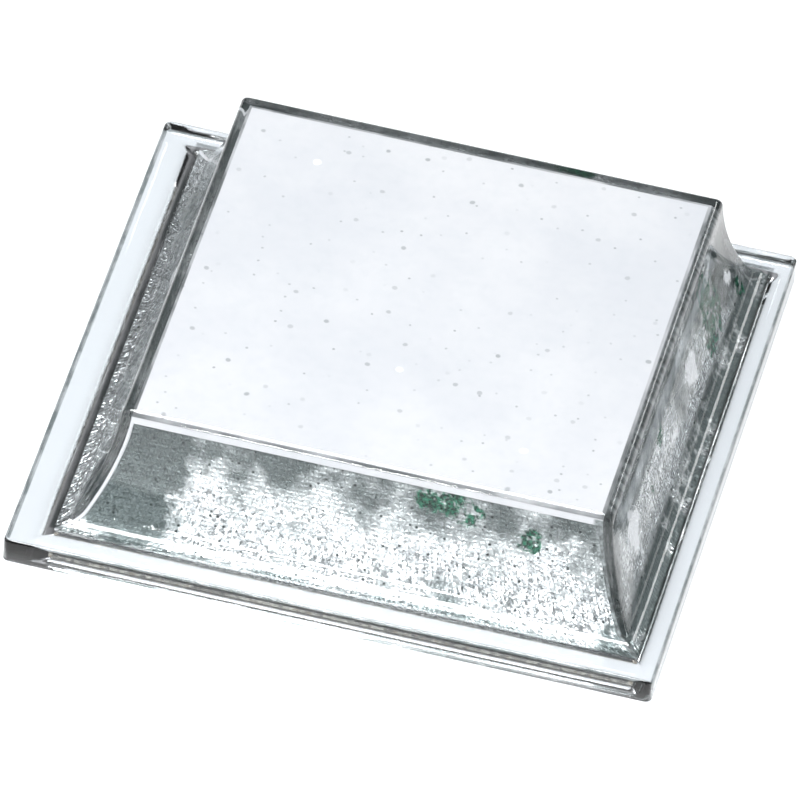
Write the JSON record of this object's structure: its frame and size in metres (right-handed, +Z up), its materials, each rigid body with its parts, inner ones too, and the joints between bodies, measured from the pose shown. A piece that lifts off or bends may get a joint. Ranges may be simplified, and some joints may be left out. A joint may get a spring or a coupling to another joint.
{
  "type": "raised pavement marker",
  "caption": "Square flanged road marker: a clear shell with four coved sides over silvered reflectors, potted solid, with a flat gritted underside for bonding to the road.",
  "frame": {"origin": "middle of the square underside, on the road surface", "axes": "+Z up out of the road, +Y away from the viewer, +X to the viewer's right; the flange's sides lie along X and Y"},
  "size_m": [0.1, 0.1, 0.0234],
  "materials": {
    "clear_acrylic": "clear moulded acrylic, polished, lightly scuffed",
    "silvered_prism": "vacuum-silvered micro-prisms with a granular sparkle",
    "white_carrier": "blue-white moulded plastic with fine grey specks",
    "potting_resin": "cast resin filled with sand",
    "base_plastic": "dark grey moulded plastic",
    "sealant": "cured dark sealant",
    "grit": "coarse sand set in resin"
  },
  "bodies": {
    "root": {"lens_shell": "clear_acrylic", "front_reflector": "silvered_prism", "rear_reflector": "silvered_prism", "left_reflector": "silvered_prism", "right_reflector": "silvered_prism", "reflector_carrier": "white_carrier", "potting_core": "potting_resin", "base_plate": "base_plastic", "sealing_bead": "sealant", "base_grit": "grit"}
  },
  "joints": []
}
